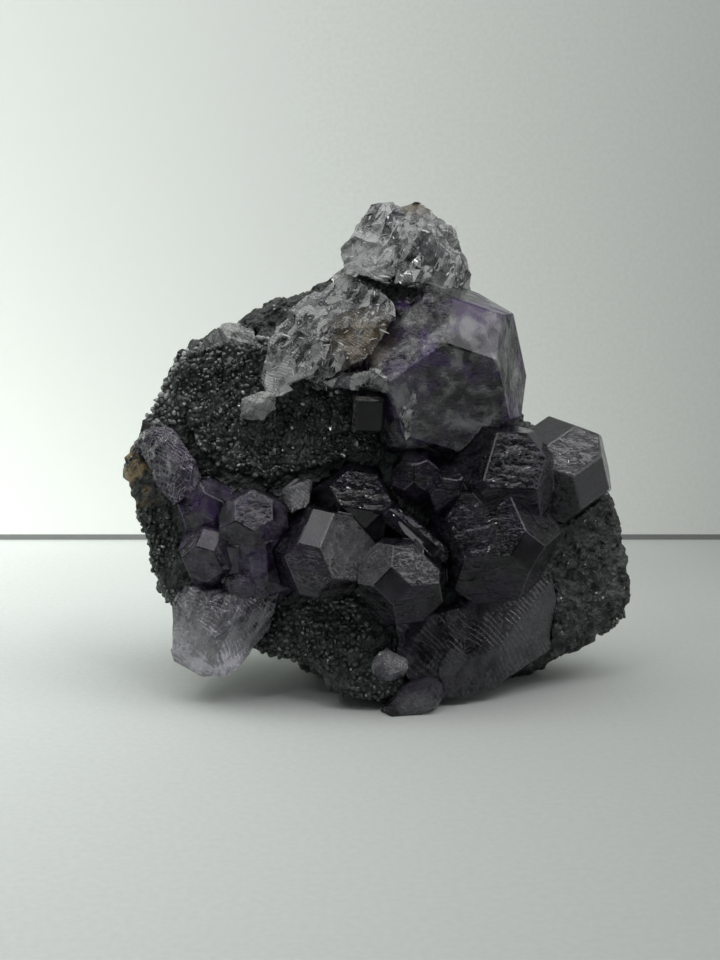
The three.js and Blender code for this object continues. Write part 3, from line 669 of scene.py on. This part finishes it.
def crystalPlanes(crystals):  # each as normal, distance from the frame's origin, slack and finish
    planes = []
    for crystal in crystals:
        x, y, z = (math.radians(angle) for angle in crystal["turn"])
        turn = Matrix.Rotation(x, 3, "X") @ Matrix.Rotation(y, 3, "Y") @ Matrix.Rotation(z, 3, "Z")
        centre = place(*crystal["at"])
        for i in range(3):
            for side in (-1, 1):
                flat = Vector((0, 0, 0))
                flat[i] = side
                normal = turn @ flat
                reach = normal.dot(centre) + crystal["half"][i] * mm
                planes.append((normal, reach, squareSlack * mm, squareFace))
        for i, j in ((0, 1), (1, 2), (0, 2)):
            for first in (-1, 1):
                for second in (-1, 1):
                    flat = Vector((0, 0, 0))
                    flat[i], flat[j] = first, second
                    normal = turn @ flat.normalized()
                    corner = crystal["half"][i] + crystal["half"][j]
                    reach = normal.dot(centre) + (corner - crystal["cut"]) / math.sqrt(2) * mm
                    planes.append((normal, reach, etchedSlack * mm, etchedFace))
    return planes


def finishOf(face, planes):
    for normal, reach, slack, finish in planes:
        if face.normal.dot(normal) > parallel and abs(face.normal.dot(face.center) - reach) < slack:
            return finish
    return brokenFace


def markFaces(piece, planes):  # the finish is kept as the material index until it is painted
    while len(piece.data.materials) < 4:
        piece.data.materials.append(None)
    for face in piece.data.polygons:
        face.material_index = finishOf(face, planes)


def selectFinish(piece, finish):
    bpy.ops.mesh.select_all(action="DESELECT")
    piece.active_material_index = finish
    bpy.ops.object.material_slot_select()


edgeRules = {"leastAngle": 0.15, "leastLength": 0.8}  # which edges get a strip painted as a highlight: radians and mm


def bevelEdgeHighlights(piece, width):  # a narrow strip along each edge between two crystal faces, painted as a highlight
    only(piece)
    bpy.ops.object.mode_set(mode="EDIT")
    bpy.ops.mesh.select_mode(type="EDGE")
    bpy.ops.mesh.select_all(action="DESELECT")
    bpy.ops.object.mode_set(mode="OBJECT")
    mesh = piece.data
    faces = {}
    for face in mesh.polygons:
        for key in face.edge_keys:
            faces.setdefault(key, []).append((face.material_index, face.normal.copy()))
    for edge in mesh.edges:
        both = faces[edge.key]
        if len(both) < 2 or any(finish == brokenFace for finish, normal in both):
            continue
        ends = [mesh.vertices[index].co for index in edge.vertices]
        edge.select = (both[0][1].angle(both[1][1]) > edgeRules["leastAngle"]
                       and (ends[0] - ends[1]).length > edgeRules["leastLength"] * mm)
    bpy.ops.object.mode_set(mode="EDIT")
    bpy.ops.mesh.bevel(offset=width, segments=1, profile=0.5, affect="EDGES", clamp_overlap=False,
                       material=edgeHighlightFinish)
    bpy.ops.mesh.select_mode(type="FACE")
    bpy.ops.object.mode_set(mode="OBJECT")


cleavage = [Vector((1, 0.3, 1)), Vector((-1, 0.2, 1)), Vector((0.1, 1, 0.5)), Vector((0.2, -0.3, 1))]
unevenCuts = 0.2  # how far a cut strays from its even place, as a share of the step


def breakUp(piece, step):  # broken faces are cut along the cleavage directions into small facets
    only(piece)
    axes = list(zip(*[vertex.co for vertex in piece.data.vertices]))
    low, high = Vector([min(axis) for axis in axes]), Vector([max(axis) for axis in axes])
    reachAll = (high - low).length / 2
    middle = (high + low) / 2
    bpy.ops.object.mode_set(mode="EDIT")
    bpy.ops.mesh.select_mode(type="FACE")
    for direction in cleavage:
        normal = direction.normalized()
        count = int(reachAll / step)
        for k in range(-count, count + 1):
            selectFinish(piece, brokenFace)
            along = k * step + unevenCuts * step * math.sin(5.3 * k)
            bpy.ops.mesh.bisect(plane_co=middle + normal * along, plane_no=normal)
    selectFinish(piece, brokenFace)
    bpy.ops.mesh.quads_convert_to_tris()
    bpy.ops.object.mode_set(mode="OBJECT")


def looseCorners(piece):  # a vertex group of the corners that only broken faces share
    group = piece.vertex_groups.new(name="loose")
    held = set()
    for face in piece.data.polygons:
        if face.material_index != brokenFace:
            held.update(face.vertices)
    group.add([v.index for v in piece.data.vertices if v.index not in held], 1.0, "REPLACE")


def shift(piece, name, kind, size, strength, **settings):  # one displacement of the broken corners
    texture = bpy.data.textures.new(name, type=kind)
    texture.noise_scale = size
    for key, value in settings.items():
        setattr(texture, key, value)
    only(piece)
    bpy.ops.object.modifier_add(type="DISPLACE")
    change = piece.modifiers[-1]
    change.texture = texture
    change.texture_coords = "LOCAL"
    change.strength = strength
    change.mid_level = 0.5
    if "loose" in piece.vertex_groups:
        change.vertex_group = "loose"
    if kind == "VORONOI" and texture.color_mode == "POSITION":
        change.direction = "RGB_TO_XYZ"
    bpy.ops.object.modifier_apply(modifier=change.name)


def paintFinish(piece, paleAndLitShare, stainAndShadeShare):  # red etched, green broken, blue clear (pale zones and painted light), alpha stained (stains, and painted shade on the hollow crystal)
    mesh = piece.data
    layer = mesh.color_attributes.new("finish", "FLOAT_COLOR", "CORNER")
    for face in mesh.polygons:
        kind = face.material_index
        clear, stain = paleAndLitShare(face.center), stainAndShadeShare(face.center)
        colour = (float(kind == etchedFace), float(kind == brokenFace), clear, stain)
        for corner in face.loop_indices:
            layer.data[corner].color = colour
    for face in mesh.polygons:
        face.material_index = int(face.material_index == edgeHighlightFinish)


def near(centre, reach, share=1.0):  # a soft ball, `share` inside and 0 outside
    spot, fall = place(*centre), 1.6
    return lambda p: share * max(0.0, min(1.0, fall - fall * (p - spot).length / (reach * mm)))


def strongest(*spots):
    return lambda p: max(spot(p) for spot in spots)


# For each piece: `step` is the size of its cleavage facets, `lump` their unevenness and `edge` the width of
# its edge strips painted as highlights, in mm. `clear` is the pale spots, partly pale zones and partly
# painted light, and `stain` the dark spots, on the hollow crystal painted shade.
fluoritePieces = [
    {"node": "lower_fluorite", "name": "lowerFluorite", "slot": "purple_fluorite",
     "material": darkFluorite, "crystals": lowerCrystals, "step": 2.2, "lump": 0.5, "edge": 0.18,
     "clear": strongest(near((-0.3, 2, 31), 7.5, 1.0), near((0.5, 2, 24.5), 4, 0.9),
                        near((-8, 0, 28), 7, 0.15), near((29, 14, 14), 11, 0.6),
                        near((38.5, 15, 43), 9, 0.8), near((10, 0, 27), 5, 0.35))},
    {"node": "upper_fluorite", "name": "upperFluorite", "slot": "clear_fluorite",
     "material": upperFluorite, "crystals": upperCrystals, "step": 1.5, "lump": 1.7, "edge": 0.16,
     "clear": strongest(near((-2, 20, 77), 9, 1.0), near((-4, 22, 84), 6, 0.6),
                        near((-15, 14, 58), 9, 0.45), near((-6, 15, 66), 8, 0.1),
                        near((14, 24, 80), 9, 0.3), near((9, 10, 56), 8, 0.12),
                        near((22, 14, 50), 7, 0.15)),
     "stain": strongest(near((0, 19, 72.5), 4.5), near((-2, 13, 66), 7, 0.35),
                        near((13, 22, 77), 6, 0.7), near((-12, 14, 64), 5, 0.6),
                        near((-7, 12, 58.5), 5, 0.5), near((3, 20, 84), 3.5, 0.4))},
    {"node": "left_fluorite", "name": "leftFluorite", "slot": "lilac_fluorite",
     "material": lilacFluorite, "crystals": leftCrystals, "step": 2.0, "lump": 0.8, "edge": 0.12,
     "clear": near((-26, 7, 9), 12, 0.9)},
    {"node": "edge_fluorite", "name": "edgeFluorite", "slot": "lilac_fluorite",
     "material": lilacFluorite, "step": 1.6, "lump": 0.9,
     "clear": near((-38, 11, 53), 4, 0.5), "stain": near((-34, 11, 44), 16, 0.75)},
    {"node": "toe_fluorite", "name": "toeFluorite", "slot": "purple_fluorite",
     "material": darkFluorite, "step": 2.0, "lump": 0.4, "clear": near((10, 2, 1), 4)},
    {"node": "bead_fluorite", "name": "beadFluorite", "slot": "lilac_fluorite",
     "material": lilacFluorite, "step": 1.2, "lump": 0.3, "clear": near((4.7, 4.8, 10), 5, 0.7)},
    # its stain darkens the whole crystal: painted shade, for the recess under the slab
    {"node": "hollow_fluorite", "name": "hollowFluorite", "slot": "purple_fluorite",
     "material": darkFluorite, "crystals": hollowCrystals, "step": 1.4, "lump": 0.4, "edge": 0.12,
     "clear": near((1, 12, 55), 1), "stain": near((1, 10, 51), 9)},
    {"node": "strip_fluorite", "name": "stripFluorite", "slot": "lilac_fluorite",
     "material": lilacFluorite, "step": 1.2, "lump": 0.5, "clear": near((-11, 9, 37), 3)},
    {"node": "hollow_tip_fluorite", "name": "hollowTipFluorite", "slot": "clear_fluorite",
     "material": upperFluorite, "step": 1.0, "lump": 0.6, "clear": near((-17, 13, 53), 7)},
    {"node": "ridge_fluorite", "name": "ridgeFluorite", "slot": "clear_fluorite",
     "material": upperFluorite, "step": 1.2, "lump": 0.9, "clear": near((-24, 24, 62), 6)},
]


# Faces that meet at less than `flat` degrees are joined first. The other values are shares of the
# piece's own step and lump.
brokenLook = {"flat": 0.4, "stepSize": 3.2, "chipSize": 1.6, "chipDepth": 0.8}


def buildFluorite(look):
    piece = copyNode(look["node"], look["name"])
    only(piece)
    bpy.ops.object.mode_set(mode="EDIT")
    bpy.ops.mesh.select_all(action="SELECT")
    bpy.ops.mesh.dissolve_limited(angle_limit=math.radians(brokenLook["flat"]))
    bpy.ops.object.mode_set(mode="OBJECT")
    markFaces(piece, crystalPlanes(look.get("crystals", [])))
    if "crystals" in look:
        bevelEdgeHighlights(piece, look["edge"] * mm)
    breakUp(piece, look["step"] * mm)
    looseCorners(piece)
    step, lump = look["step"] * mm, look["lump"] * mm
    shift(piece, look["name"] + "Steps", "VORONOI", brokenLook["stepSize"] * step, lump,
          color_mode="POSITION", distance_metric="DISTANCE")
    shift(piece, look["name"] + "Chips", "CLOUDS", brokenLook["chipSize"] * step,
          brokenLook["chipDepth"] * lump, noise_depth=2)
    paintFinish(piece, look["clear"], look.get("stain", lambda p: 0.0))
    piece.data.materials.clear()
    piece.data.materials.append(look["material"])
    piece.data.materials.append(paintedEdgeHighlights)
    finishPiece(piece, look["slot"], look["node"])
    print(look["name"], "made,", len(piece.data.polygons), "faces")
    return piece


for look in fluoritePieces:
    buildFluorite(look)


# the host rock

rockShape = {
    "voxel": 0.6,
    "relief": [  # kind of texture, its size and strength in mm, and the level that stays in place
        ("CLOUDS", 5.0, 1.8, 0.25), ("VORONOI", 3.4, 1.6, 0.1), ("CLOUDS", 1.5, 1.1, 0.25),
    ],
}


def buildRock():
    rock = copyNode("host_rock", "hostRock")
    rock.data.remesh_voxel_size = rockShape["voxel"] * mm
    bpy.ops.object.voxel_remesh()
    for kind, size, strength, level in rockShape["relief"]:
        texture = bpy.data.textures.new("rockRelief", type=kind)
        texture.noise_scale = size * mm
        if kind == "VORONOI":  # blocks with grooves between them
            texture.weight_1, texture.weight_2 = -1, 1
        else:
            texture.noise_type, texture.noise_depth = "HARD_NOISE", 3
        bpy.ops.object.modifier_add(type="DISPLACE")
        change = rock.modifiers[-1]
        change.texture = texture
        change.texture_coords = "LOCAL"
        change.strength = strength * mm
        change.mid_level = level
        bpy.ops.object.modifier_apply(modifier=change.name)
    bpy.ops.object.shade_flat()
    rock.data.materials.append(chloriteRock)
    finishPiece(rock, "dark_rock", "host_rock")
    print("hostRock made,", len(rock.data.polygons), "faces")
    return rock


rock = buildRock()


# the druse: thousands of small crystals

# The least and most size of a grain on each axis, as a share of the druse's own. Sizes and spacing
# are in mm, and `density` is how many places are tried in one spacing's square.
evenly = {"least": (0.5, 0.5, 0.5), "most": (1.45, 1.45, 1.45)}
druseLook = {"size": 0.46, "cut": 0.62, "spacing": 0.68, "seed": 4, "density": 2.2, **evenly}
frontFacing, flakeFacing = -0.2, -0.1  # faces whose normal's y is below this carry grains or flakes

# Patches of small crystals on the bare rock: centre and reach in mm, as in the growth plan
darkPatches = {
    "name": "rockDruse", "spacing": 0.85, "seed": 9, **evenly, "spots": [
        ((-38, 16, 28), 6), ((-35, 16, 15), 5), ((-5, 6, 14), 7), ((-14, 9, 12), 5), ((3, 4, 2), 6),
        ((50, 22, 6), 6), ((10, 46, 60), 9), ((-22, 44, 30), 10),
    ],
}
silverPatches = {
    "name": "silverDruse", "spacing": 0.8, "seed": 17, **evenly, "spots": [
        ((-27, 20, 57), 8), ((-35, 19, 52), 4), ((-20, 20, 63), 5), ((-12, 20, 67), 5),
    ],
}

# Small flakes painted pale as painted glints, on the broken surfaces and here and there in the druse
flakeGroups = [
    {"name": "brokenGlitter", "host": "upperFluorite", "crystals": upperCrystals, "spacing": 2.0,
     "seed": 21, "least": (0.1, 0.1, 0.05), "most": (0.4, 2.2, 0.3), "spots": [
         ((10, 24, 80), 12), ((-2, 14, 68), 8), ((-12, 14, 60), 9), ((11, 18, 73), 5),
     ]},
    {"name": "druseGlitter", "host": "druse_crust", "crystals": [], "spacing": 4.2, "seed": 5,
     "least": (0.5, 0.5, 0.4), "most": (1.0, 1.4, 0.8), "spots": [((-15, 12, 48), 30)]},
]


def grainShape():  # a cube with its edges cut back, as the small crystals are
    bpy.ops.object.select_all(action="DESELECT")
    bpy.ops.mesh.primitive_cube_add(size=2 * druseLook["size"] * mm, location=(0, 0, 0))
    grain = bpy.context.active_object
    grain.name = "grainShape"
    grain.data.materials.append(darkDruse)
    bpy.ops.object.mode_set(mode="EDIT")
    bpy.ops.mesh.select_all(action="SELECT")
    bpy.ops.mesh.bevel(offset=druseLook["cut"] * druseLook["size"] * mm, segments=1, affect="EDGES")
    bpy.ops.object.mode_set(mode="OBJECT")
    return grain


def scatter(host, grain, look, material):  # the host's faces become the small crystals on them
    spacing = look["spacing"] * mm
    tree = bpy.data.node_groups.new(host.name + "Scatter", "GeometryNodeTree")
    tree.interface.new_socket("Geometry", in_out="INPUT", socket_type="NodeSocketGeometry")
    tree.interface.new_socket("Geometry", in_out="OUTPUT", socket_type="NodeSocketGeometry")
    start, end = addNode(tree, "NodeGroupInput"), addNode(tree, "NodeGroupOutput")
    density = druseLook["density"] / spacing ** 2
    spread = addNode(tree, "GeometryNodeDistributePointsOnFaces",
                     {"Mesh": start.outputs[0], "Distance Min": spacing, "Density Max": density,
                      "Seed": look["seed"]}, distribute_method="POISSON")
    shape = addNode(tree, "GeometryNodeObjectInfo", {"Object": grain})
    anyWay = [6.28] * 3
    turn = addNode(tree, "FunctionNodeRandomValue", {"Max": anyWay}, data_type="FLOAT_VECTOR")
    size = addNode(tree, "FunctionNodeRandomValue",
                   {"Min": look["least"], "Max": look["most"], "Seed": 3}, data_type="FLOAT_VECTOR")
    put = addNode(tree, "GeometryNodeInstanceOnPoints",
                  {"Points": spread.outputs["Points"], "Instance": shape.outputs["Geometry"],
                   "Rotation": turn.outputs["Value"], "Scale": size.outputs["Value"]})
    real = addNode(tree, "GeometryNodeRealizeInstances", {0: put.outputs[0]})
    feed(tree, end, {0: real.outputs[0]})
    only(host)
    bpy.ops.object.modifier_add(type="NODES")
    host.modifiers[-1].node_group = tree
    bpy.ops.object.modifier_apply(modifier=host.modifiers[-1].name)
    host.data.materials.clear()
    host.data.materials.append(material)


def keepFaces(piece, keep):  # deletes the faces for which keep(face) is false
    only(piece)
    bpy.ops.object.mode_set(mode="EDIT")
    bpy.ops.mesh.select_mode(type="FACE")
    bpy.ops.mesh.select_all(action="DESELECT")
    bpy.ops.object.mode_set(mode="OBJECT")
    for face in piece.data.polygons:
        face.select = not keep(face)
    bpy.ops.object.mode_set(mode="EDIT")
    bpy.ops.mesh.delete(type="FACE")
    bpy.ops.object.mode_set(mode="OBJECT")


def within(spots):  # whether a face lies in one of the soft balls
    balls = [(place(*centre), reach * mm) for centre, reach in spots]
    return lambda face: any((face.center - spot).length < reach for spot, reach in balls)


def buildPatches(look, grain, material):
    patches = copyPiece(rock, look["name"])
    keepFaces(patches, within(look["spots"]))
    scatter(patches, grain, look, material)
    print(look["name"], "made,", len(patches.data.polygons), "faces")
    return finishPiece(patches, "dark_druse")


def buildFlakes(look, grain):
    flakes = copyPiece(bpy.data.objects[look["host"]], look["name"])
    planes, inside = crystalPlanes(look["crystals"]), within(look["spots"])
    keepFaces(flakes, lambda face: face.normal.y < flakeFacing and inside(face)
              and finishOf(face, planes) == brokenFace)
    scatter(flakes, grain, look, paintedGlintFlake)
    print(look["name"], "made,", len(flakes.data.polygons), "faces")
    return finishPiece(flakes, "clear_fluorite")


def buildDruse():
    grain = grainShape()
    druse = copyNode("druse_crust", "hollowDruse")
    keepFaces(druse, lambda face: face.normal.y < frontFacing)
    scatter(druse, grain, druseLook, darkDruse)
    finishPiece(druse, "dark_druse")
    print("hollowDruse made,", len(druse.data.polygons), "faces")
    buildPatches(darkPatches, grain, darkDruse)
    buildPatches(silverPatches, grain, silverDruse)
    for look in flakeGroups:
        buildFlakes(look, grain)
    crust = bpy.data.objects["druse_crust"]
    crust.data.materials.clear()
    crust.data.materials.append(darkDruse)
    only(grain)
    bpy.ops.object.delete()


buildDruse()
